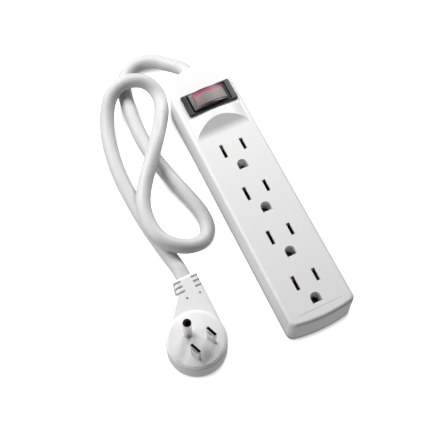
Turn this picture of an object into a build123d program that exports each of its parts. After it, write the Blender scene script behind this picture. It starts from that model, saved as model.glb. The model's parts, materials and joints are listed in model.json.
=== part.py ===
from build123d import *
import math
import os

# Four-outlet power strip with a lighted rocker switch, a short cord and a flat plug.
# Millimetres. Origin at the bottom centre of the case, +X across it, +Y along it
# towards the cord, +Z up. The rocker is drawn with its right-hand end pressed.

# ---- case ----
LENGTH = 177.8  # case length, 7 in
WIDTH = 40.0
TOP_Z = 24.0  # flat top face of the case
WALL = 2.0
COVER_FOOT_Z = 0.4  # lower edge of the cover's walls
EDGE_R = 2.2  # rounding of the top edge
END_BOW_R = 90.0  # gentle bow of the plain end
CORNER_R = 4.0
PLATE = 2.4  # base plate thickness
PLATE_GAP = 0.15
SCORE_Y = -82.7  # shallow score line across the plain end
SCORE_LENGTH = 26.8

# ---- outlets ----
OUTLETS = 4
PITCH = 30.48
FIRST_SLOT_Y = 26.8
SLOT_X = 6.35
SLOT_W = 2.2
NEUTRAL_SLOT = 9.0
HOT_SLOT = 7.8
GROUND_DROP = 11.9  # from the slots' line to the ground hole
GROUND_HOLE_R = 3.0
WELL_WALL = 0.8  # sleeve that guides the ground pin inside the case
WELL_FOOT_Z = 14.0
OUTLET_Y = [FIRST_SLOT_Y - PITCH * i for i in range(OUTLETS)]

# ---- switch ----
SWITCH_X, SWITCH_Y = 1.4, 63.1
FLANGE_X, FLANGE_Y, FLANGE_T = 32.0, 14.6, 1.6
CASE_X, CASE_Y, CASE_WALL = 26.4, 13.4, 0.5
CASE_BOTTOM_Z = 7.6
CASE_FLOOR = 1.2
PIVOT_Z = 20.5
ROCKER_TILT = 4.0  # either side of the middle
ARM_TILT = 8.0
CROWN_Z = 28.4
CROWN_R = 28.0
ROCKER_Y = 11.9
ROCKER_FOOT_X, ROCKER_TIP_X = 24.6, 24.0
LENS_X, LENS_Y = 19.4, 9.4
AXLE_R = 1.0
HUB_R = 3.0
FULCRUM_Z = 12.4

# ---- switch guard ----
GUARD_HALF = 16.7
GUARD_RISE = 4.5
GUARD_BACK_Y = 53.0
GUARD_FRONT_Y = 38.2
SCOOP_R = 9.0
SCOOP_SLOPE = 30.0

# ---- cord ----
CORD_D = 9.0
CORD_Z = 10.8  # height of the cord's exit
BUSHING_OUT = 1.3  # lip that stands out of the case
WIRE_R = 1.4

# ---- plug ----
PLUG_X, PLUG_Y, PLUG_R = -68.6, -67.6, 17.3
PLUG_RIM_Z = 14.6
FACE_R, FACE_Z = 15.8, 15.0
PIN_TURN = 22.5  # the pins' pattern, counter-clockwise from +Y
BLADE_SPACING = 12.7
BLADE_W, BLADE_T, BLADE_LENGTH = 6.35, 1.52, 16.5
GROUND_PIN_R, GROUND_PIN_LENGTH = 2.4, 21.4
GROUND_ROOT_R = 2.0  # the part held in the plug's face
NECK_X, NECK_W, NECK_END_Y, NECK_Z = -58.9, 15.0, -30.0, 13.2
NECK_CORD_Z = 7.2

BOTTOM = (Align.CENTER, Align.CENTER, Align.MIN)
TOP = (Align.CENTER, Align.CENTER, Align.MAX)
HALF_L, HALF_W = LENGTH / 2, WIDTH / 2
DOME_Y = HALF_L - HALF_W  # centre of the round end


def block(x0, x1, y0, y1, z0, z1):
    """A box between two corners."""
    centre = ((x0 + x1) / 2, (y0 + y1) / 2, (z0 + z1) / 2)
    return Pos(*centre) * Box(x1 - x0, y1 - y0, z1 - z0)


def drum_y(radius, y0, y1, x=0.0, z=0.0):
    """A cylinder along Y."""
    return Pos(x, (y0 + y1) / 2, z) * Rot(90, 0, 0) * Cylinder(radius, y1 - y0)


def drum_z(radius, x, y, z0, z1):
    """An upright cylinder."""
    return Pos(x, y, z0) * Cylinder(radius, z1 - z0, align=BOTTOM)


def joined(shapes):
    """Several shapes as one compound, for pieces that share a node."""
    solids = [solid for shape in shapes for solid in shape.solids()]
    return Compound(children=solids)


def tube_path(points):
    """Straight runs joined by arcs as large as the runs allow."""
    corners = [Vector(*p) for p in points]
    radii = []
    for before, here, after in zip(corners, corners[1:], corners[2:]):
        run_in, run_out = here - before, after - here
        half_turn = math.radians(run_in.get_angle(run_out)) / 2
        radii.append(0.45 * min(run_in.length, run_out.length) / math.tan(half_turn))
    return FilletPolyline(*corners, radius=radii), radii


def tube(points, radius):
    path, radii = tube_path(points)
    section = Plane(origin=path @ 0, z_dir=path % 0) * Circle(radius)
    return sweep(section, path=path), path, radii


# ---- case shells ----
def case_outline(inset=0.0):
    """Plan of the case: straight sides, a round cord end, a bowed plain end."""
    half = HALF_W - inset
    far = HALF_L - inset
    bow = END_BOW_R - inset
    corner_y = -far + bow - math.sqrt(bow**2 - half**2)
    sides = Polyline((-half, corner_y), (-half, DOME_Y))
    dome = ThreePointArc((-half, DOME_Y), (0, DOME_Y + half), (half, DOME_Y))
    right = Line((half, DOME_Y), (half, corner_y))
    end = ThreePointArc((half, corner_y), (0, -far), (-half, corner_y))
    plan = make_face(Curve() + [sides, dome, right, end])
    corners = plan.vertices().sort_by(Axis.Y)[:2]
    return fillet(corners, max(CORNER_R - inset, 1.0))


def case_body(inset, z0, z1):
    return Pos(0, 0, z0) * extrude(case_outline(inset), z1 - z0)


def guard_hump():
    """Arched bridge that shields the switch, with a finger scoop in front."""
    arch_r = (GUARD_HALF**2 + GUARD_RISE**2) / (2 * GUARD_RISE)
    arch = drum_y(arch_r, GUARD_FRONT_Y, GUARD_BACK_Y, 0, TOP_Z + GUARD_RISE - arch_r)
    hump = arch & block(-HALF_W, HALF_W, GUARD_FRONT_Y, GUARD_BACK_Y, TOP_Z - 1, TOP_Z + 9)
    slope = math.radians(SCOOP_SLOPE)
    foot = GUARD_FRONT_Y
    knee_y = foot + SCOOP_R * math.sin(slope)
    knee_z = TOP_Z + SCOOP_R * (1 - math.cos(slope))
    middle_y = foot + SCOOP_R * math.sin(slope / 2)
    middle_z = TOP_Z + SCOOP_R * (1 - math.cos(slope / 2))
    high_z = TOP_Z + 8
    high_y = knee_y + (high_z - knee_z) / math.tan(slope)
    side = Curve() + [
        ThreePointArc((foot, TOP_Z), (middle_y, middle_z), (knee_y, knee_z)),
        Polyline((knee_y, knee_z), (high_y, high_z), (foot - 2, high_z), (foot - 2, TOP_Z), (foot, TOP_Z)),
    ]
    scoop = extrude(Plane.YZ.offset(-HALF_W) * make_face(side), WIDTH)
    return hump - scoop


def ground_arch(y, radius, z0, z1):
    """Arch-shaped prism: round towards the slots, flat on the other side."""
    return drum_z(radius, 0, y, z0, z1) + block(-radius, radius, y - radius, y, z0, z1)


BOSSES = [(x, y) for y in (36.0, -18.9, -78.5) for x in (-14.6, 14.6)]
BOSS_R, SCREW_R = 3.2, 1.4
SCREW_HEAD_R, SCREW_HEAD = 2.8, 1.2


def top_cover():
    shell = case_body(0, COVER_FOOT_Z, TOP_Z)
    shell = fillet(shell.faces().sort_by(Axis.Z)[-1].edges(), EDGE_R)
    shell += guard_hump()
    shell -= case_body(WALL, COVER_FOOT_Z, TOP_Z - WALL)
    for x, y in BOSSES:
        shell += drum_z(BOSS_R, x, y, PLATE, TOP_Z - WALL)
        shell -= drum_z(SCREW_R, x, y, PLATE, TOP_Z - WALL - 2)
    for y in OUTLET_Y:
        for x, slot in ((-SLOT_X, NEUTRAL_SLOT), (SLOT_X, HOT_SLOT)):
            shell -= block(x - SLOT_W / 2, x + SLOT_W / 2, y - slot / 2, y + slot / 2, TOP_Z - 4, TOP_Z + 2)
        hole_y = y - GROUND_DROP
        shell += ground_arch(hole_y, GROUND_HOLE_R + WELL_WALL, WELL_FOOT_Z, TOP_Z - WALL)
        shell -= ground_arch(hole_y, GROUND_HOLE_R, WELL_FOOT_Z - 1, TOP_Z + 2)
    cut_x, cut_y = CASE_X / 2 + 0.05, CASE_Y / 2 + 0.05
    shell -= block(SWITCH_X - cut_x, SWITCH_X + cut_x, SWITCH_Y - cut_y, SWITCH_Y + cut_y, TOP_Z - 4, TOP_Z + 2)
    shell -= block(-SCORE_LENGTH / 2, SCORE_LENGTH / 2, SCORE_Y - 0.25, SCORE_Y + 0.25, TOP_Z - 0.15, TOP_Z + 1)
    return shell - drum_y(BUSHING_R, DOME_Y, HALF_L + 5, 0, CORD_Z)


KEYHOLE_Y = (38.0, -62.0)
KEYHOLE_R, KEYHOLE_NECK_R, KEYHOLE_REACH = 4.25, 2.1, 6.5
CLAMP_Y, CLAMP_DEPTH, CLAMP_HALF = 80.0, 3.6, 11.0
CLAMP_SCREW_X = 8.0
BAR_Z, BAR_T = 4.6, 0.8


def base_cover():
    plate = case_body(WALL + PLATE_GAP, 0, PLATE)
    for y in KEYHOLE_Y:
        plate -= drum_z(KEYHOLE_R, 0, y, -1, PLATE + 1)
        plate -= drum_z(KEYHOLE_NECK_R, 0, y + KEYHOLE_REACH, -1, PLATE + 1)
        plate -= block(-KEYHOLE_NECK_R, KEYHOLE_NECK_R, y, y + KEYHOLE_REACH, -1, PLATE + 1)
    for x, y in BOSSES:
        plate -= drum_z(SCREW_R + 0.1, x, y, -1, PLATE + 1)
        plate -= drum_z(SCREW_HEAD_R + 0.1, x, y, -1, SCREW_HEAD + 0.1)
    for y in BAR_POST_Y:
        for x in (-SLOT_X, 0, SLOT_X):
            plate += block(x - 1.5, x + 1.5, y - 1.5, y + 1.5, PLATE - 0.5, BAR_Z)
    near, far = CLAMP_Y - CLAMP_DEPTH / 2, CLAMP_Y + CLAMP_DEPTH / 2
    saddle = block(-CLAMP_HALF, CLAMP_HALF, near, far, PLATE - 0.5, CORD_Z - 0.3)
    saddle -= drum_y(CORD_D / 2, near - 1, far + 1, 0, CORD_Z)
    for x in (-CLAMP_SCREW_X, CLAMP_SCREW_X):
        saddle -= drum_z(CLAMP_SCREW_R, x, CLAMP_Y, 4, CORD_Z)
    return plate + saddle


def case_screws():
    screws = []
    for x, y in BOSSES:
        screw = drum_z(SCREW_R, x, y, 0.2, 12.0) + drum_z(SCREW_HEAD_R, x, y, 0.1, SCREW_HEAD)
        cross = block(x - 1.5, x + 1.5, y - 0.3, y + 0.3, 0, 0.7) + block(x - 0.3, x + 0.3, y - 1.5, y + 1.5, 0, 0.7)
        screws.append(screw - cross)
    return joined(screws)


# ---- conductors ----
BAR_W = {"neutral": 5.0, "ground": 4.0, "hot": 5.0}
BAR_X = {"neutral": -SLOT_X, "ground": 0.0, "hot": SLOT_X}
BAR_END_Y = {"neutral": 38.0, "ground": 44.0, "hot": 38.0}
BAR_POST_Y = [y - 5.9 for y in OUTLET_Y] + [31.0]
BAR_START_Y = -82.0
CLIP_LENGTH = 7.0
BLADE_CLIP_Z, GROUND_CLIP_Z = 19.6, 13.4  # the clips' mouths


def bus_bar(kind):
    x, half = BAR_X[kind], BAR_W[kind] / 2
    return block(x - half, x + half, BAR_START_Y, BAR_END_Y[kind], BAR_Z, BAR_Z + BAR_T)


def spring_clip(x, y, gap, foot, mouth_z):
    """Sheet-metal clip: two leaves that lean in to the gap and flare at the mouth."""
    z0, sheet = BAR_Z + BAR_T, 0.5
    pinch_z = mouth_z - 2.2
    inner = [(foot, z0 + sheet), (foot, z0 + 3), (gap / 2, pinch_z), (gap / 2 + 0.9, mouth_z)]
    outer = [(u + sheet, z) for u, z in reversed(inner)]
    outer[-1] = (foot + sheet, z0)
    right = inner + outer
    left = [(-u, z) for u, z in reversed(right)]
    profile = make_face(Polyline(*right, *left, right[0]))
    return Pos(x, y + CLIP_LENGTH / 2, 0) * extrude(Plane.XZ * profile, CLIP_LENGTH)


def contacts(kind):
    gap, foot, mouth_z, drop = 1.4, 1.5, BLADE_CLIP_Z, 0.0
    if kind == "ground":
        gap, foot, mouth_z, drop = 4.66, 2.6, GROUND_CLIP_Z, GROUND_DROP
    return joined([spring_clip(BAR_X[kind], y - drop, gap, foot, mouth_z) for y in OUTLET_Y])


# ---- switch ----
def in_switch(shape):
    """Places a shape drawn about the pivot's plan position."""
    return Pos(SWITCH_X, SWITCH_Y, 0) * shape


def tilted(shape, degrees, z):
    """Turns a shape about the line along Y at height z over the origin."""
    return Pos(0, 0, z) * Rot(0, degrees, 0) * Pos(0, 0, -z) * shape


def crown_block(half_foot, half_tip, half_y, radius, z0, z_tip):
    """Block with sloped ends and an arched top, the arch's axis along Y."""
    centre_z = CROWN_Z - CROWN_R
    arch = drum_y(radius, -half_y, half_y, 0, centre_z)
    outline = Polyline((-half_foot, z0), (half_foot, z0), (half_tip, z_tip), (-half_tip, z_tip), (-half_foot, z0))
    return extrude(Plane.XZ.offset(-half_y) * make_face(outline), 2 * half_y) & arch


def switch_housing():
    case = block(-CASE_X / 2, CASE_X / 2, -CASE_Y / 2, CASE_Y / 2, CASE_BOTTOM_Z, TOP_Z)
    flange = block(-FLANGE_X / 2, FLANGE_X / 2, -FLANGE_Y / 2, FLANGE_Y / 2, TOP_Z, TOP_Z + FLANGE_T)
    flange = fillet(flange.edges().filter_by(Axis.Z), 0.8)
    flange = chamfer(flange.faces().sort_by(Axis.Z)[-1].edges(), 0.35)
    half_x, half_y = CASE_X / 2 - CASE_WALL, CASE_Y / 2 - CASE_WALL
    hollow = block(-half_x, half_x, -half_y, half_y, CASE_BOTTOM_Z + CASE_FLOOR, TOP_Z + FLANGE_T + 1)
    housing = case + flange - hollow
    for y0, y1 in ((-half_y, -4.0), (4.0, half_y)):
        pillar = block(-2.4, 2.4, y0, y1, CASE_BOTTOM_Z + CASE_FLOOR, PIVOT_Z + 1.6)
        housing += pillar
    housing -= drum_y(AXLE_R, -half_y, half_y, 0, PIVOT_Z)
    for x, half in TABS:
        housing -= block(x - 0.4, x + 0.4, -half, half, CASE_BOTTOM_Z - 1, CASE_BOTTOM_Z + CASE_FLOOR + 1)
    return in_switch(housing)


TABS = [(-11.2, 2.4), (0.0, 1.8), (8.3, 2.4), (12.0, 1.5)]  # line, fulcrum, load, lamp


def rocker():
    half_y = ROCKER_Y / 2
    foot_z, tip_z = PIVOT_Z + 1.4, CROWN_Z + 2
    tip_half = ROCKER_TIP_X / 2
    body = crown_block(ROCKER_FOOT_X / 2, tip_half, half_y, CROWN_R, foot_z, tip_z)
    body = fillet(body.edges().filter_by(GeomType.CIRCLE), 0.5)
    hollow = crown_block(ROCKER_FOOT_X / 2 - 1.2, tip_half - 1.2, half_y - 1.1, CROWN_R - 1.8, foot_z - 1, tip_z)
    body -= hollow
    body -= block(-LENS_X / 2, LENS_X / 2, -LENS_Y / 2, LENS_Y / 2, foot_z, CROWN_Z + 2)
    body -= block(-2.8, 2.8, -half_y - 1, half_y + 1, foot_z - 1, PIVOT_Z + 2.2)
    web = block(-1.6, 1.6, -3.2, 3.2, PIVOT_Z, WEB_TOP_Z) + drum_y(HUB_R, -3.2, 3.2, 0, PIVOT_Z)
    bridge = block(-1.6, 1.6, -half_y + 0.5, half_y - 0.5, WEB_TOP_Z - 1.4, WEB_TOP_Z)
    leg = drum_z(2.2, 0, 0, PIVOT_Z - 4.2, PIVOT_Z)
    body += web + bridge + leg
    body -= drum_y(AXLE_R + 0.05, -half_y, half_y, 0, PIVOT_Z)
    body -= drum_z(PLUNGER_R + 0.05, 0, 0, PIVOT_Z - 5, PIVOT_Z - 1.4)
    return in_switch(tilted(body, ROCKER_TILT, PIVOT_Z))


PLUNGER_R = 1.2
WEB_TOP_Z = 25.8
LENS_INSIDE_R = CROWN_R - 2.1


def rocker_lens():
    half_x, half_y = LENS_X / 2, LENS_Y / 2
    window = crown_block(half_x, half_x, half_y, CROWN_R + 0.35, PIVOT_Z, CROWN_Z + 2)
    window = fillet(window.edges().filter_by(GeomType.CIRCLE), 0.3)
    window -= drum_y(LENS_INSIDE_R, -half_y, half_y, 0, CROWN_Z - CROWN_R)
    return in_switch(tilted(window, ROCKER_TILT, PIVOT_Z))


def rocker_plunger():
    tip_z = PIVOT_Z - 7.45
    plunger = drum_z(PLUNGER_R, 0, 0, tip_z + PLUNGER_R, PIVOT_Z - 3.6)
    plunger += Pos(0, 0, tip_z + PLUNGER_R) * Sphere(PLUNGER_R)
    return in_switch(tilted(plunger, ROCKER_TILT, PIVOT_Z))


def plunger_spring():
    """Coil spring above the plunger."""
    coil = Helix(pitch=0.8, height=1.6, radius=0.72)
    start = Plane(origin=coil @ 0, z_dir=coil % 0)
    wire = sweep(start * Circle(0.24), path=coil)
    return in_switch(tilted(Pos(0, 0, PIVOT_Z - 3.35) * wire, ROCKER_TILT, PIVOT_Z))


def rocker_axle():
    half_y = CASE_Y / 2 - CASE_WALL
    return in_switch(drum_y(AXLE_R, -half_y, half_y, 0, PIVOT_Z))


def contact_arm():
    plate = block(-6.6, 7.0, -1.8, 1.8, FULCRUM_Z, FULCRUM_Z + 0.6)
    return in_switch(tilted(plate, -ARM_TILT, FULCRUM_Z))


def arm_contact():
    button = drum_z(1.2, 5.5, 0, FULCRUM_Z - 0.8, FULCRUM_Z)
    return in_switch(tilted(button, -ARM_TILT, FULCRUM_Z))


def fixed_contact():
    return in_switch(drum_z(1.3, 5.4, 0, 9.6, FIXED_TOP_Z))


FIXED_TOP_Z = 10.6
TAB_END_Z = 3.2


def line_terminal():
    x, half = TABS[0]
    return in_switch(block(x - 0.4, x + 0.4, -half, half, TAB_END_Z, 11.0))


def fulcrum_post():
    x, half = TABS[1]
    return in_switch(block(x - 0.4, x + 0.4, -half, half, CASE_BOTTOM_Z, FULCRUM_Z - 0.08))


def breaker_bimetal():
    return in_switch(block(TABS[0][0] + 0.4, -0.4, -1.6, 1.6, 9.4, 9.9))


def load_terminal():
    x, half = TABS[2]
    tab = block(x - 0.4, x + 0.4, -half, half, TAB_END_Z, 9.6)
    shelf = block(3.9, x - 0.4, -1.6, 1.6, 8.8, 9.6)
    return in_switch(tab + shelf)


def lamp_terminal():
    x, half = TABS[3]
    return in_switch(block(x - 0.4, x + 0.4, -half, half, TAB_END_Z, 12.0))


def neon_lamp():
    body = Pos(-6.4, 0, 21.2) * Rot(0, 90, 0) * Cylinder(1.8, 4.4)
    tip = Pos(-8.6, 0, 21.2) * Sphere(1.8)
    return in_switch(body + tip)


def lamp_resistor():
    body = Pos(-7.4, 4.2, 15.2) * Rot(0, 90, 0) * Cylinder(1.1, 5.6)
    leads = Pos(-7.4, 4.2, 15.2) * Rot(0, 90, 0) * Cylinder(0.3, 9.0)
    return in_switch(body + leads)


# ---- cord inside the case ----
BUSHING_R = 6.0
CLAMP_SCREW_R = 1.2
INNER_END_Y = 76.5
CORD_START_Y = HALF_L + BUSHING_OUT


def cord_bushing():
    ring = drum_y(BUSHING_R, 83.0, HALF_L, 0, CORD_Z) + drum_y(7.0, 83.0, 84.8, 0, CORD_Z)
    ring += drum_y(6.8, HALF_L, CORD_START_Y, 0, CORD_Z)
    ring = fillet(ring.edges().filter_by(GeomType.CIRCLE).sort_by(Axis.Y)[-1], 0.8)
    return ring - drum_y(CORD_D / 2, 80, 95, 0, CORD_Z)


def cord_inner_end():
    return drum_y(CORD_D / 2, INNER_END_Y, CORD_START_Y, 0, CORD_Z)


def cord_clamp():
    near, far = CLAMP_Y - CLAMP_DEPTH / 2, CLAMP_Y + CLAMP_DEPTH / 2
    bar = block(-CLAMP_HALF, CLAMP_HALF, near, far, CORD_Z + 0.3, CORD_Z + 6.2)
    bar -= drum_y(CORD_D / 2, near - 1, far + 1, 0, CORD_Z)
    for x in (-CLAMP_SCREW_X, CLAMP_SCREW_X):
        bar -= drum_z(CLAMP_SCREW_R, x, CLAMP_Y, CORD_Z, CORD_Z + 8)
    return bar


def clamp_screws():
    head_z = CORD_Z + 6.2
    screws = []
    for x in (-CLAMP_SCREW_X, CLAMP_SCREW_X):
        screw = drum_z(CLAMP_SCREW_R, x, CLAMP_Y, 5, head_z) + drum_z(2.2, x, CLAMP_Y, head_z, head_z + 1.4)
        screws.append(screw - block(x - 1.4, x + 1.4, CLAMP_Y - 0.3, CLAMP_Y + 0.3, head_z + 0.7, head_z + 2))
    return joined(screws)


# ---- leads: from the cord's inner end to the terminals and bars ----
BAR_LEAD_Z = BAR_Z + BAR_T + WIRE_R  # a lead that lies on a bar
LINE_X = SWITCH_X + TABS[0][0] + 0.4 + WIRE_R
LOAD_X = SWITCH_X + TABS[2][0] + 0.4 + WIRE_R
LAMP_X = SWITCH_X + TABS[3][0] + 0.4 + 0.6
LEADS = {
    "line_hot_wire": (
        WIRE_R,
        [
            (0.0, INNER_END_Y, CORD_Z - 2.0),
            (0.0, 73.1, CORD_Z - 2.0),
            (-5.5, 72.6, 7.0),
            (LINE_X, 68.6, 4.9),
            (LINE_X, 61.2, 4.8),
        ],
    ),
    "switched_hot_wire": (
        WIRE_R,
        [
            (LOAD_X, 65.0, 4.8),
            (LOAD_X, 56.0, 4.8),
            (9.4, 46.5, 6.2),
            (SLOT_X, 42.5, BAR_LEAD_Z),
            (SLOT_X, 35.0, BAR_LEAD_Z),
        ],
    ),
    "neutral_wire": (
        WIRE_R,
        [
            (-1.9, INNER_END_Y, CORD_Z + 1.6),
            (-1.9, 73.1, CORD_Z + 1.6),
            (-5.6, 72.4, 12.2),
            (-15.4, 71.8, 10.6),
            (-15.9, 64.0, 10.2),
            (-15.9, 50.0, 10.0),
            (-12.0, 44.2, 9.6),
            (-SLOT_X, 41.4, BAR_LEAD_Z),
            (-SLOT_X, 35.0, BAR_LEAD_Z),
        ],
    ),
    "ground_wire": (
        WIRE_R,
        [
            (1.9, INNER_END_Y, CORD_Z + 1.6),
            (1.9, 73.1, CORD_Z + 1.6),
            (4.8, 73.0, 8.6),
            (3.2, 74.0, 4.4),
            (-11.6, 74.0, 4.0),
            (-15.6, 68.0, 4.0),
            (-15.6, 54.0, 4.0),
            (-11.0, 48.8, 3.9),
            (-2.4, 49.6, 4.4),
            (0.0, 47.4, 5.0),
            (0.0, 44.0, 5.0),
        ],
    ),
    "lamp_wire": (
        0.6,
        [
            (LAMP_X, 62.6, 5.4),
            (LAMP_X, 53.0, 5.8),
            (11.0, 49.4, 8.6),
            (0.0, 48.4, 8.6),
            (-4.3, 44.0, 6.8),
            (-4.3, 40.6, BAR_Z + BAR_T + 0.6),
            (-4.3, 35.0, BAR_Z + BAR_T + 0.6),
        ],
    ),
}


# ---- free cord: leaves the bushing, lies on the floor in one open loop that crosses
# itself twice, rides up on its own turn beside the second crossing and ends in the plug ----
CORD_ROUTE = [
    (0.0, CORD_START_Y, CORD_Z),
    (0.0, 95.2, CORD_Z),
    (-3.2, 100.4, 9.6),
    (-8.2, 106.6, 7.6),
    (-13.8, 113.0, 6.0),
    (-23.2, 116.6, 4.8),
    (-32.8, 113.8, 4.6),
    (-38.8, 105.4, 4.6),
    (-41.4, 94.0, 4.6),
    (-43.0, 79.5, 4.6),
    (-43.6, 64.5, 4.6),
    (-42.0, 49.5, 4.6),
    (-38.8, 34.5, 4.6),
    (-34.8, 19.5, 4.6),
    (-31.6, 6.5, 4.6),
    (-31.6, -5.0, 4.8),
    (-37.0, -13.0, 6.2),
    (-46.8, -14.6, 9.6),
    (-56.2, -11.2, 13.6),
    (-62.8, -3.0, 14.6),
    (-64.2, 9.0, 14.2),
    (-62.2, 20.6, 14.0),
    (-56.2, 31.6, 13.4),
    (-48.4, 41.4, 14.2),
    (-40.0, 52.4, 14.2),
    (-31.2, 65.0, 11.2),
    (-24.0, 77.6, 8.2),
    (-21.6, 88.4, 8.4),
    (-25.2, 97.0, 11.8),
    (-33.4, 101.2, 14.3),
    (-43.0, 101.4, 14.2),
    (-51.2, 97.4, 10.0),
    (-57.2, 88.5, 6.2),
    (-61.9, 75.5, 4.6),
    (-65.0, 60.0, 4.6),
    (-66.0, 44.0, 4.6),
    (-65.4, 28.0, 4.6),
    (-64.4, 13.5, 4.6),
    (-62.4, 0.0, 4.6),
    (-60.8, -11.5, 5.2),
    (-59.3, -20.0, 6.7),
    (NECK_X, -25.4, NECK_CORD_Z),
    (NECK_X, NECK_END_Y, NECK_CORD_Z),
]


def power_cord():
    cord, path, radii = tube(CORD_ROUTE, CORD_D / 2)
    section = math.pi * CORD_D**2 / 4
    print("cord length", round(path.length, 1), "radii", [round(r) for r in radii])
    print("cord volume over section times length", round(cord.volume / (section * path.length), 4))
    return cord


# ---- plug ----
def plug_body():
    """Round overmould with a tapered neck, slotted where the cord enters."""
    disc = fillet(drum_z(PLUG_R, PLUG_X, PLUG_Y, 0, PLUG_RIM_Z).faces().sort_by(Axis.Z)[-1].edges(), 1.45)
    right, left = NECK_X + NECK_W / 2, NECK_X - NECK_W / 2
    flare_x, flare_y = PLUG_X - PLUG_R * math.cos(math.radians(33)), PLUG_Y + PLUG_R * math.sin(math.radians(33))
    outline = Polyline(
        (right, NECK_END_Y),
        (left, NECK_END_Y),
        (left - 0.6, NECK_END_Y - 7),
        (flare_x, flare_y),
        (PLUG_X, PLUG_Y),
        (PLUG_X + PLUG_R, PLUG_Y),
        (right, NECK_END_Y),
    )
    neck = extrude(make_face(outline), NECK_Z)
    upright = neck.edges().filter_by(Axis.Z).filter_by_position(Axis.Y, NECK_END_Y - 0.1, NECK_END_Y + 0.1)
    neck = fillet(upright, 2.0)
    top_edges = neck.faces().sort_by(Axis.Z)[-1].edges()
    rim = [edge for edge in top_edges if min(v.Y for v in edge.vertices()) > PLUG_Y + 5]
    neck = fillet(rim, 2.2)
    body = disc + neck
    body -= drum_z(FACE_R, PLUG_X, PLUG_Y, 9.0, PLUG_RIM_Z + 3)
    cord_core = drum_y(CORD_D / 2 + 0.8, NECK_END_Y - 20, NECK_END_Y + 5, NECK_X, NECK_CORD_Z)
    for k in range(3):
        y = NECK_END_Y - 2.4 - 3.1 * k
        slots = block(left - 3, NECK_X - 3.2, y - 0.65, y + 0.65, 1.4, NECK_Z + 2)
        slots += block(NECK_X + 3.2, right + 3, y - 0.65, y + 0.65, 1.4, NECK_Z + 2)
        body -= slots - cord_core
    for x in (NECK_X - 4.0, NECK_X + 4.0):
        body -= drum_z(0.7, x, NECK_END_Y - 13.1, NECK_Z - 1.6, NECK_Z + 2)
    return body


def in_plug(shape):
    """Places a shape drawn about the plug's centre with its ground pin towards +Y."""
    return Pos(PLUG_X, PLUG_Y, 0) * Rot(0, 0, PIN_TURN) * shape


PINS_X = -0.9  # the pins sit a little off the face's centre
BLADE_Y, GROUND_Y = -6.25, 5.65  # 11.9 apart
BLADE_X = {"neutral": PINS_X - BLADE_SPACING / 2, "hot": PINS_X + BLADE_SPACING / 2}
BLADE_FOOT_Z = 10.5


def blade(kind):
    x, top = BLADE_X[kind], FACE_Z + BLADE_LENGTH
    half_t, half_w = BLADE_T / 2, BLADE_W / 2
    body = block(x - half_t, x + half_t, BLADE_Y - half_w, BLADE_Y + half_w, BLADE_FOOT_Z, top)
    body = chamfer(body.faces().sort_by(Axis.Z)[-1].edges(), 0.5)
    hole = Pos(x, BLADE_Y, FACE_Z + 11.9) * Rot(0, 90, 0) * Cylinder(1.9, 4)
    return in_plug(body - hole)


def ground_pin():
    top = FACE_Z + GROUND_PIN_LENGTH
    pin = fillet(drum_z(GROUND_PIN_R, PINS_X, GROUND_Y, FACE_Z, top).faces().sort_by(Axis.Z)[-1].edges(), 1.7)
    return in_plug(pin + drum_z(GROUND_ROOT_R, PINS_X, GROUND_Y, BLADE_FOOT_Z, FACE_Z))


def plug_face():
    disc = drum_z(FACE_R, 0, 0, 9.0, FACE_Z)
    disc = fillet(disc.faces().sort_by(Axis.Z)[-1].edges(), 0.35)
    half_t, half_w = BLADE_T / 2, BLADE_W / 2
    for x in BLADE_X.values():
        disc -= block(x - half_t, x + half_t, BLADE_Y - half_w, BLADE_Y + half_w, BLADE_FOOT_Z, FACE_Z + 1)
    disc -= drum_z(GROUND_ROOT_R, PINS_X, GROUND_Y, BLADE_FOOT_Z, FACE_Z + 1)
    return in_plug(disc)


NODES = {
    "top_cover": top_cover,
    "base_cover": base_cover,
    "case_screws": case_screws,
    "switch_housing": switch_housing,
    "rocker": rocker,
    "rocker_lens": rocker_lens,
    "rocker_plunger": rocker_plunger,
    "plunger_spring": plunger_spring,
    "rocker_axle": rocker_axle,
    "contact_arm": contact_arm,
    "arm_contact": arm_contact,
    "fixed_contact": fixed_contact,
    "line_terminal": line_terminal,
    "fulcrum_post": fulcrum_post,
    "breaker_bimetal": breaker_bimetal,
    "load_terminal": load_terminal,
    "lamp_terminal": lamp_terminal,
    "neon_lamp": neon_lamp,
    "lamp_resistor": lamp_resistor,
    "cord_bushing": cord_bushing,
    "cord_inner_end": cord_inner_end,
    "cord_clamp": cord_clamp,
    "clamp_screws": clamp_screws,
    "power_cord": power_cord,
    "plug_body": plug_body,
    "plug_face": plug_face,
    "neutral_blade": lambda: blade("neutral"),
    "hot_blade": lambda: blade("hot"),
    "ground_pin": ground_pin,
}
for kind in BAR_X:
    NODES[f"{kind}_bus_bar"] = lambda kind=kind: bus_bar(kind)
    NODES[f"{kind}_contacts"] = lambda kind=kind: contacts(kind)
for name, (radius, route) in LEADS.items():
    NODES[name] = lambda radius=radius, route=route: tube(route, radius)[0]

os.makedirs("parts", exist_ok=True)
for name, make in NODES.items():
    export_step(make(), f"parts/{name}.step")
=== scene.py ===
"""Looks of a four-outlet power strip with a lighted rocker switch, a looped cord and a flat plug.

Metres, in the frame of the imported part: +Y along the case towards the cord, +Z up.
"""

import json
import math

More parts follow.
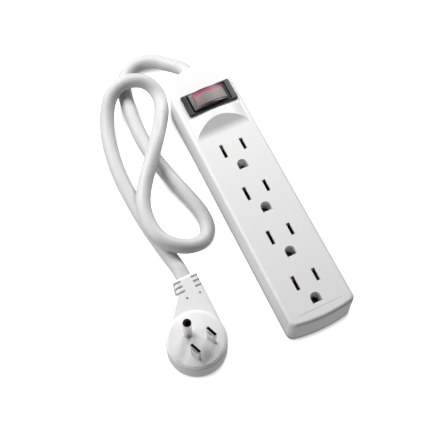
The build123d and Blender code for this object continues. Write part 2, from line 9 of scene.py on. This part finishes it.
import bmesh
import bpy
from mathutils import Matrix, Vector

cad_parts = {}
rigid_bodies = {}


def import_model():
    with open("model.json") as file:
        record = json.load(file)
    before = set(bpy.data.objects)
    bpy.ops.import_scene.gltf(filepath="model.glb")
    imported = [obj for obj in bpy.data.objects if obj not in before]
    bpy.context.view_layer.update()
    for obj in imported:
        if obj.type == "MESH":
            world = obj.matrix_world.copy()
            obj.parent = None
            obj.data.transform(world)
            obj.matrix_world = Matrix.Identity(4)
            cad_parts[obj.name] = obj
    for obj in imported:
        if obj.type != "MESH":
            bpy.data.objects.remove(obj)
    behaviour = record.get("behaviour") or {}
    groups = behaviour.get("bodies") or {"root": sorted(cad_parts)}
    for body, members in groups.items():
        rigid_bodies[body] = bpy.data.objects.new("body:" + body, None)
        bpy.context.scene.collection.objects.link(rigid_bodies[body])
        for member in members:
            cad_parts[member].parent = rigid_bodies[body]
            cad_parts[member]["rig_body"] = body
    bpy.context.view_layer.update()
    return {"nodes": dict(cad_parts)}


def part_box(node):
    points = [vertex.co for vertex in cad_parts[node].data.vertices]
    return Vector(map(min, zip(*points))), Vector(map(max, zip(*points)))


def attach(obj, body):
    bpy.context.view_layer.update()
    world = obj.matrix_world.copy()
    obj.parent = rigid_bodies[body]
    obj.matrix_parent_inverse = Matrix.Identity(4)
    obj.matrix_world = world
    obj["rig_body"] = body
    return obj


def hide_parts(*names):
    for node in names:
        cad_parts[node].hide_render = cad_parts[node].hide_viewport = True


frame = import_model()
nodes = frame["nodes"]
scene = bpy.context.scene
MM = 0.001

# ---- camera ----
LENS_MM = 81.27
CAMERA_PLACE = (-0.1259, -0.2089, 0.5292)
CAMERA_TARGET = (-0.0291, -0.0068, 0.0240)
camera_data = bpy.data.cameras.new("camera")
camera_data.lens = LENS_MM
camera_data.sensor_width = 36.0
camera_data.clip_start = 0.02
camera = bpy.data.objects.new("camera", camera_data)
camera.location = CAMERA_PLACE
aim = Vector(CAMERA_TARGET) - camera.location
camera.rotation_euler = aim.to_track_quat("-Z", "Y").to_euler()
scene.collection.objects.link(camera)
scene.camera = camera
scene.view_settings.view_transform = "Standard"


# ---- procedural materials ----
def noise(tree, coordinates, scale, detail, rough):
    """A noise pattern, scale spots to the metre."""
    node = tree.nodes.new("ShaderNodeTexNoise")
    node.inputs["Scale"].default_value = scale
    node.inputs["Detail"].default_value = detail
    node.inputs["Roughness"].default_value = rough
    tree.links.new(coordinates, node.inputs["Vector"])
    return node.outputs["Fac"]


def spread(tree, value, low, high, start=0.3, end=0.7):
    """Maps start to end, by default the middle of a noise's range, onto low to high."""
    node = tree.nodes.new("ShaderNodeMapRange")
    node.inputs["From Min"].default_value = start
    node.inputs["From Max"].default_value = end
    node.inputs["To Min"].default_value = low
    node.inputs["To Max"].default_value = high
    tree.links.new(value, node.inputs["Value"])
    return node.outputs["Result"]


def mixed(tree, factor, first, second):
    """Goes from the first colour to the second as the factor rises."""
    node = tree.nodes.new("ShaderNodeMix")
    node.data_type = "RGBA"
    tree.links.new(factor, node.inputs["Factor"])
    for socket, colour in ((node.inputs["A"], first), (node.inputs["B"], second)):
        if isinstance(colour, bpy.types.NodeSocket):
            tree.links.new(colour, socket)
        else:
            socket.default_value = (*colour, 1.0)
    return node.outputs["Result"]


def axes(tree, vector):
    """The X, Y and Z of a vector."""
    node = tree.nodes.new("ShaderNodeSeparateXYZ")
    tree.links.new(vector, node.inputs["Vector"])
    return node.outputs


def start_material(name):
    """A new material, with its node tree, its shader and the object's own coordinates."""
    made = bpy.data.materials.new(name)
    made.use_nodes = True
    tree = made.node_tree
    shader = tree.nodes["Principled BSDF"]
    place = tree.nodes.new("ShaderNodeTexCoord").outputs["Object"]
    return made, tree, shader, place


def surface(
    name, colour, roughness, tone=0.03, grain=900.0, grain_depth=0.01, cloud=45.0, wear_and_painted_dark_tip=1.0, **sockets
):
    """Moulded or plated surface: cloudy tone, patchy gloss and a fine grain, grain_depth millimetres deep."""
    made, tree, shader, place = start_material(name)
    clouds = noise(tree, place, cloud, 4.0, 0.55)
    pale = tuple(min(1.0, c * (1 + tone)) for c in colour)
    dark = tuple(c * (1 - tone) for c in colour)
    tree.links.new(mixed(tree, spread(tree, clouds, 0.0, 1.0), dark, pale), shader.inputs["Base Color"])
    fine = noise(tree, place, grain, 2.0, 0.6)
    rubbed = noise(tree, place, cloud * 6, 5.0, 0.65)
    gloss = spread(tree, rubbed, roughness * (1 - 0.18 * wear_and_painted_dark_tip), roughness * (1 + 0.22 * wear_and_painted_dark_tip))
    tree.links.new(gloss, shader.inputs["Roughness"])
    bump = tree.nodes.new("ShaderNodeBump")
    bump.inputs["Strength"].default_value = 0.5
    bump.inputs["Distance"].default_value = grain_depth * MM
    tree.links.new(fine, bump.inputs["Height"])
    tree.links.new(bump.outputs["Normal"], shader.inputs["Normal"])
    for socket, value in sockets.items():
        shader.inputs[socket.replace("_", " ")].default_value = value
    return made


def finished(made):
    """A finished surface's node tree, shader, object coordinates and plain colour, to paint over."""
    tree = made.node_tree
    shader = tree.nodes["Principled BSDF"]
    place = tree.nodes["Texture Coordinate"].outputs["Object"]
    return tree, shader, place, shader.inputs["Base Color"].links[0].from_socket


def paint_switch_sheen_and_shade(made):
    """Painted reflection and shade: faces that look up are painted a paler grey sheen, paler still towards
    the frame's +X end as a painted reflection of the right lamp; the sides are painted deep black as painted
    shade.
    """
    tree, shader, place, plain = finished(made)
    facing = tree.nodes.new("ShaderNodeNewGeometry").outputs["Normal"]
    # Painted sheen: faces that look up are painted paler than the sides, which are painted deep black as
    # shade.
    painted_sheen_on_tops = spread(tree, axes(tree, facing)["Z"], 0.0, 1.0, 0.55, 0.95)
    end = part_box("switch_housing")[1].x
    # Painted reflection: the faces are painted greyer towards the +X end, where the right lamp's reflection
    # falls.
    painted_reflection_at_end = spread(tree, axes(tree, place)["X"], 0.0, 1.0, end - 6 * MM, end - 3 * MM)
    painted_reflection_tone = mixed(tree, painted_reflection_at_end, plain, (0.085, 0.083, 0.083))
    tree.links.new(mixed(tree, painted_sheen_on_tops, (0.006, 0.006, 0.006), painted_reflection_tone), shader.inputs["Base Color"])


def shade_foot(made):
    """Painted shade: a thin grey line painted round the foot of the case's walls, standing in for the contact
    shadow there, fading out upwards.
    """
    tree, shader, place, plain = finished(made)
    above = spread(tree, axes(tree, place)["Z"], 0.0, 1.0, 1.1 * MM, 3.0 * MM)
    # Painted contact shadow: the walls are painted dark grey within a few millimetres of the floor.
    tree.links.new(mixed(tree, above, (0.09, 0.09, 0.09), plain), shader.inputs["Base Color"])


case_white = surface(
    "case_white", (0.80, 0.80, 0.795), 0.30, tone=0.008, grain=1600, grain_depth=0.003, cloud=18, wear_and_painted_dark_tip=0.25
)
shade_foot(case_white)
base_white = surface("base_white", (0.78, 0.78, 0.77), 0.42, tone=0.02, grain=1400, grain_depth=0.02)
cord_white = surface(
    "cord_white", (0.60, 0.60, 0.60), 0.42, tone=0.015, grain=1100, grain_depth=0.012, cloud=70
)
plug_white = surface(
    "plug_white", (0.82, 0.82, 0.82), 0.36, tone=0.015, grain=1300, grain_depth=0.012, cloud=60
)
face_white = surface(
    "face_white", (0.83, 0.83, 0.83), 0.34, tone=0.02, grain=1300, grain_depth=0.008, cloud=60
)
switch_black = surface("switch_black", (0.030, 0.028, 0.030), 0.30, tone=0.10, grain=2200, grain_depth=0.012)
paint_switch_sheen_and_shade(switch_black)
nylon = surface("nylon", (0.72, 0.69, 0.60), 0.45, tone=0.03)
zinc = surface("zinc", (0.55, 0.55, 0.57), 0.32, tone=0.08, cloud=300, Metallic=1.0)
NICKEL = dict(roughness=0.24, tone=0.05, grain=2600, grain_depth=0.004, cloud=160, Metallic=1.0)
brass = surface("brass", (0.52, 0.36, 0.15), 0.38, tone=0.12, cloud=200, Metallic=1.0)
tin = surface("tin", (0.42, 0.41, 0.39), 0.42, tone=0.10, cloud=200, Metallic=1.0)
silver = surface("silver", (0.80, 0.79, 0.76), 0.26, tone=0.06, cloud=500, Metallic=1.0)
bimetal = surface("bimetal", (0.45, 0.41, 0.36), 0.40, tone=0.10, cloud=260, Metallic=1.0)
resistor = surface("resistor", (0.62, 0.45, 0.27), 0.40, tone=0.06, cloud=400)
lead_black = surface("lead_black", (0.025, 0.025, 0.025), 0.40, tone=0.10)
lead_white = surface("lead_white", (0.74, 0.74, 0.71), 0.42, tone=0.03)
lead_green = surface("lead_green", (0.03, 0.26, 0.08), 0.42, tone=0.08)
lamp_glass = surface("lamp_glass", (0.95, 0.80, 0.68), 0.06, tone=0.02, Transmission_Weight=0.9, IOR=1.5)


def pin_material(node, tip):
    """Nickel plate whose last stretch, tip metres long, is painted dark as a painted reflection of dark
    surroundings in the polished tip.
    """
    made = surface(node + "_nickel", (0.70, 0.69, 0.67), **NICKEL)
    tree, shader, place, plated = finished(made)
    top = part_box(node)[1].z
    # Painted reflection: the tip is painted near black, where polished metal would mirror the dark overhead.
    wear_and_painted_dark_tip = spread(tree, axes(tree, place)["Z"], 0.0, 1.0, top - tip, top - 0.6 * tip)
    tree.links.new(mixed(tree, wear_and_painted_dark_tip, plated, (0.012, 0.011, 0.011)), shader.inputs["Base Color"])
    return made


def lens_material():
    """Red translucent window: painted pale pinkish grey on its crown as a painted reflection, deep crimson
    along its far and left edges.
    """
    made, tree, shader, place = start_material("lens_red")
    split = axes(tree, place)
    wander = noise(tree, place, 420.0, 3.0, 0.6)
    jitter = spread(tree, wander, -0.5 * MM, 0.5 * MM)
    depth = tree.nodes.new("ShaderNodeMath")
    depth.operation = "ADD"
    tree.links.new(split["Y"], depth.inputs[0])
    tree.links.new(jitter, depth.inputs[1])
    low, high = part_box("rocker_lens")
    far = spread(tree, depth.outputs["Value"], 0.0, 1.0, high.y - 2.9 * MM, high.y - 1.2 * MM)
    # Painted reflection: the crown is painted pale pinkish grey, and the far edge keeps the lens's deep
    # crimson.
    colour = mixed(tree, far, (0.215, 0.175, 0.170), (0.34, 0.002, 0.075))
    left = spread(tree, split["X"], 0.75, 0.0, low.x, low.x + 2.0 * MM)
    colour = mixed(tree, left, colour, (0.34, 0.04, 0.10))
    tree.links.new(colour, shader.inputs["Base Color"])
    tree.links.new(spread(tree, wander, 0.42, 0.52), shader.inputs["Roughness"])
    ribs = tree.nodes.new("ShaderNodeTexWave")
    ribs.bands_direction = "X"
    ribs.inputs["Scale"].default_value = 160.0
    tree.links.new(place, ribs.inputs["Vector"])
    bump = tree.nodes.new("ShaderNodeBump")
    bump.inputs["Strength"].default_value = 0.25
    bump.inputs["Distance"].default_value = 0.02 * MM
    tree.links.new(ribs.outputs["Fac"], bump.inputs["Height"])
    tree.links.new(bump.outputs["Normal"], shader.inputs["Normal"])
    shader.inputs["Subsurface Weight"].default_value = 0.05
    shader.inputs["Subsurface Radius"].default_value = (0.004, 0.001, 0.001)
    shader.inputs["Coat Weight"].default_value = 0.15
    shader.inputs["Coat Roughness"].default_value = 0.4
    return made


lens_red = lens_material()


# ---- pieces ----
def paint(obj, made):
    obj.data.materials.clear()
    obj.data.materials.append(made)
    return obj


WELD = 2e-6
COPLANAR = math.radians(0.4)
SHARP = math.radians(32.0)


def look_copy(node, clean):
    """A copy of the CAD node's mesh, welded, cleaned and shaded smooth."""
    mesh = nodes[node].data.copy()
    mesh.name = node + "_look"
    work = bmesh.new()
    work.from_mesh(mesh)
    bmesh.ops.remove_doubles(work, verts=work.verts, dist=WELD)
    clean(work)
    work.to_mesh(mesh)
    work.free()
    mesh.polygons.foreach_set("use_smooth", [True] * len(mesh.polygons))
    look = bpy.data.objects.new(node + "_look", mesh)
    scene.collection.objects.link(look)
    return look


def stand_for(look, node, made):
    """Paints the look, ties it to the CAD node's body and puts it in the node's place."""
    source = nodes[node]
    paint(look, made)
    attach(look, source["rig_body"])
    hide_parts(node)
    return look


def soften(node, made, width):
    """The CAD node's shape with its sharp edges rounded, width millimetres wide."""

    def join_flats(work):
        bmesh.ops.dissolve_limit(work, angle_limit=COPLANAR, verts=work.verts, edges=work.edges)

    look = look_copy(node, join_flats)
    bevel = look.modifiers.new("edges", "BEVEL")
    bevel.width = width * MM
    bevel.segments = 3
    bevel.limit_method = "ANGLE"
    bevel.angle_limit = SHARP
    bevel.use_clamp_overlap = True
    bevel.harden_normals = True
    return stand_for(look, node, made)


def crisp(node, made, angle=24.0):
    """The CAD node's own surface, with its flats kept flat and its rounded stretches smooth."""

    def mark_sharp(work):
        for edge in work.edges:
            edge.smooth = len(edge.link_faces) == 2 and edge.calc_face_angle(0.0) < math.radians(angle)

    look = look_copy(node, mark_sharp)
    weigh = look.modifiers.new("normals", "WEIGHTED_NORMAL")
    weigh.keep_sharp = True
    weigh.weight = 90
    return stand_for(look, node, made)


crisp("top_cover", case_white)
PIECES = [
    ("base_cover", base_white, "white_case", 0.18),
    ("switch_housing", switch_black, "black_plastic", 0.15),
    ("rocker", switch_black, "black_plastic", 0.18),
    ("rocker_lens", lens_red, "red_lens", 0.12),
    ("cord_bushing", cord_white, "white_pvc", 0.25),
    ("plug_face", face_white, "white_plug_face", 0.15),
    ("neutral_blade", pin_material("neutral_blade", 0.9 * MM), "nickel_plate", 0.12),
    ("hot_blade", pin_material("hot_blade", 0.9 * MM), "nickel_plate", 0.12),
    ("ground_pin", pin_material("ground_pin", 1.6 * MM), "nickel_plate", 0.10),
    ("case_screws", zinc, "zinc_steel", 0.08),
    ("cord_clamp", base_white, "white_case", 0.2),
    ("clamp_screws", zinc, "zinc_steel", 0.08),
]
looks = {node: soften(node, made, width) for node, made, slot, width in PIECES}
looks["plug_body"] = crisp("plug_body", plug_white, 30.0)

KEPT = {
    "rocker_plunger": nylon,
    "plunger_spring": zinc,
    "rocker_axle": zinc,
    "contact_arm": brass,
    "arm_contact": silver,
    "fixed_contact": silver,
    "line_terminal": brass,
    "fulcrum_post": brass,
    "breaker_bimetal": bimetal,
    "load_terminal": brass,
    "lamp_terminal": brass,
    "neon_lamp": lamp_glass,
    "lamp_resistor": resistor,
    "cord_inner_end": cord_white,
    "line_hot_wire": lead_black,
    "switched_hot_wire": lead_black,
    "neutral_wire": lead_white,
    "ground_wire": lead_green,
    "lamp_wire": lead_white,
    "neutral_bus_bar": brass,
    "ground_bus_bar": brass,
    "hot_bus_bar": brass,
    "neutral_contacts": brass,
    "ground_contacts": tin,
    "hot_contacts": brass,
}
for node, made in KEPT.items():
    paint(nodes[node], made)

# ---- cord ----
CORD_RADIUS = 0.0045
CORD_EXIT = (0.0, 0.0902, 0.0108)
CORD_ROUTE = [
    CORD_EXIT,
    (0.0, 0.0952, 0.0108),
    (-0.0032, 0.1004, 0.0096),
    (-0.0082, 0.1066, 0.0076),
    (-0.0138, 0.1130, 0.0060),
    (-0.0232, 0.1166, 0.0048),
    (-0.0328, 0.1138, 0.0046),
    (-0.0388, 0.1054, 0.0046),
    (-0.0414, 0.0940, 0.0046),
    (-0.0430, 0.0795, 0.0046),
    (-0.0436, 0.0645, 0.0046),
    (-0.0420, 0.0495, 0.0046),
    (-0.0388, 0.0345, 0.0046),
    (-0.0348, 0.0195, 0.0046),
    (-0.0316, 0.0065, 0.0046),
    (-0.0316, -0.0050, 0.0048),
    (-0.0370, -0.0130, 0.0062),
    (-0.0468, -0.0146, 0.0096),
    (-0.0562, -0.0112, 0.0136),
    (-0.0628, -0.0030, 0.0146),
    (-0.0642, 0.0090, 0.0142),
    (-0.0622, 0.0206, 0.0140),
    (-0.0562, 0.0316, 0.0134),
    (-0.0484, 0.0414, 0.0142),
    (-0.0400, 0.0524, 0.0142),
    (-0.0312, 0.0650, 0.0112),
    (-0.0240, 0.0776, 0.0082),
    (-0.0216, 0.0884, 0.0084),
    (-0.0252, 0.0970, 0.0118),
    (-0.0334, 0.1012, 0.0143),
    (-0.0430, 0.1014, 0.0142),
    (-0.0512, 0.0974, 0.0100),
    (-0.0572, 0.0885, 0.0062),
    (-0.0619, 0.0755, 0.0046),
    (-0.0650, 0.0600, 0.0046),
    (-0.0660, 0.0440, 0.0046),
    (-0.0654, 0.0280, 0.0046),
    (-0.0644, 0.0135, 0.0046),
    (-0.0624, 0.0000, 0.0046),
    (-0.0608, -0.0115, 0.0052),
    (-0.0593, -0.0200, 0.0067),
    (-0.0589, -0.0254, 0.0072),
    (-0.0589, -0.0300, 0.0072),
]
line = bpy.data.curves.new("cord", "CURVE")
line.dimensions = "3D"
line.bevel_depth = CORD_RADIUS
line.bevel_resolution = 10
line.use_fill_caps = True
spline = line.splines.new("NURBS")
spline.points.add(len(CORD_ROUTE) - 1)
for point, place in zip(spline.points, CORD_ROUTE):
    point.co = (*place, 1.0)
spline.order_u = 3
spline.use_endpoint_u = True
spline.resolution_u = 14
cord = bpy.data.objects.new("cord", line)
scene.collection.objects.link(cord)
paint(cord, cord_white)
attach(cord, "strip")
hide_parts("power_cord")


# ---- floor and light ----
FLOOR_REACH = 12.0
FLOOR_DROP = 0.1 * MM
CASE_MIDDLE = (-0.02, 0.0, 0.02)


def floor_material(name, glow):
    """White paper that glows by itself, with painted contact shade dimming its glow in the creases under what
    rests on it, clear from below.
    """
    made = surface(name, (0.92, 0.92, 0.92), 0.7, tone=0.005, grain=300, grain_depth=0.01, cloud=6)
    tree = made.node_tree
    shader = tree.nodes["Principled BSDF"]
    shader.inputs["Emission Color"].default_value = (1, 1, 1, 1)
    near = tree.nodes.new("ShaderNodeAmbientOcclusion")
    near.inputs["Distance"].default_value = 4 * MM
    near.samples = 8
    # Painted contact shade: the glow is dimmed where ambient occlusion finds something close above.
    strength = spread(tree, near.outputs["AO"], 0.03 * glow, glow, 0.3, 0.9)
    tree.links.new(strength, shader.inputs["Emission Strength"])
    sides = tree.nodes.new("ShaderNodeMixShader")
    tree.links.new(tree.nodes.new("ShaderNodeNewGeometry").outputs["Backfacing"], sides.inputs["Fac"])
    tree.links.new(shader.outputs["BSDF"], sides.inputs[1])
    tree.links.new(tree.nodes.new("ShaderNodeBsdfTransparent").outputs["BSDF"], sides.inputs[2])
    tree.links.new(sides.outputs["Shader"], tree.nodes["Material Output"].inputs["Surface"])
    return made


def floor():
    """Wide plain floor, with a dull patch of painted shade hidden under the case so that its slots show no
    glow.
    """
    low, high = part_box("base_cover")
    inset = 4 * MM
    reach = FLOOR_REACH
    outer = [(-reach, -reach, 0), (reach, -reach, 0), (reach, reach, 0), (-reach, reach, 0)]
    near_y, far_y = low.y + inset, high.y - 16 * MM
    left_x, right_x = low.x + inset, high.x - inset
    inner = [(left_x, near_y, 0), (right_x, near_y, 0), (right_x, far_y, 0), (left_x, far_y, 0)]
    mesh = bpy.data.meshes.new("floor")
    ring = [(k, (k + 1) % 4, 4 + (k + 1) % 4, 4 + k) for k in range(4)]
    mesh.from_pydata(outer + inner, [], ring + [(4, 5, 6, 7)])
    mesh.materials.append(floor_material("floor_white", 0.98))
    mesh.materials.append(floor_material("floor_shade", 0.01))
    mesh.polygons[4].material_index = 1
    obj = bpy.data.objects.new("floor", mesh)
    obj.location.z = -FLOOR_DROP
    scene.collection.objects.link(obj)
    obj.visible_diffuse = False
    obj.visible_glossy = False


def area_light(name, place, target, size, power):
    data = bpy.data.lights.new(name, "AREA")
    data.shape = "RECTANGLE"
    data.size, data.size_y = size
    data.energy = power
    lamp = bpy.data.objects.new(name, data)
    lamp.location = place
    lamp.rotation_euler = (Vector(target) - Vector(place)).to_track_quat("-Z", "Y").to_euler()
    scene.collection.objects.link(lamp)


def studio_world():
    """Soft surroundings: palest straight below, dimmer at the horizon and dark overhead."""
    world = bpy.data.worlds.new("world")
    world.use_nodes = True
    tree = world.node_tree
    upward = axes(tree, tree.nodes.new("ShaderNodeTexCoord").outputs["Generated"])["Z"]
    rising = spread(tree, upward, 0.0, 1.0, -0.05, 0.08)
    height = spread(tree, upward, 0.0, 1.0, 0.30, 0.75)
    under = spread(tree, upward, 0.0, 1.0, -0.85, -0.6)
    below = mixed(tree, under, (0.48, 0.48, 0.48), (0.38, 0.38, 0.38))
    band = mixed(tree, rising, below, (0.28, 0.28, 0.28))
    sky = mixed(tree, height, band, (0.07, 0.07, 0.07))
    tree.links.new(sky, tree.nodes["Background"].inputs["Color"])
    scene.world = world


floor()
area_light("key", (-0.18, 0.42, 0.41), CASE_MIDDLE, (0.34, 0.26), 2.5)
area_light("left", (-0.60, 0.22, 0.42), CASE_MIDDLE, (0.25, 0.20), 1.35)
area_light("low_left", (-0.70, 0.10, 0.12), (-0.02, 0.0, 0.01), (0.36, 0.10), 0.85)
area_light("right", (0.40, 0.48, 0.50), CASE_MIDDLE, (0.28, 0.24), 3.5)
studio_world()
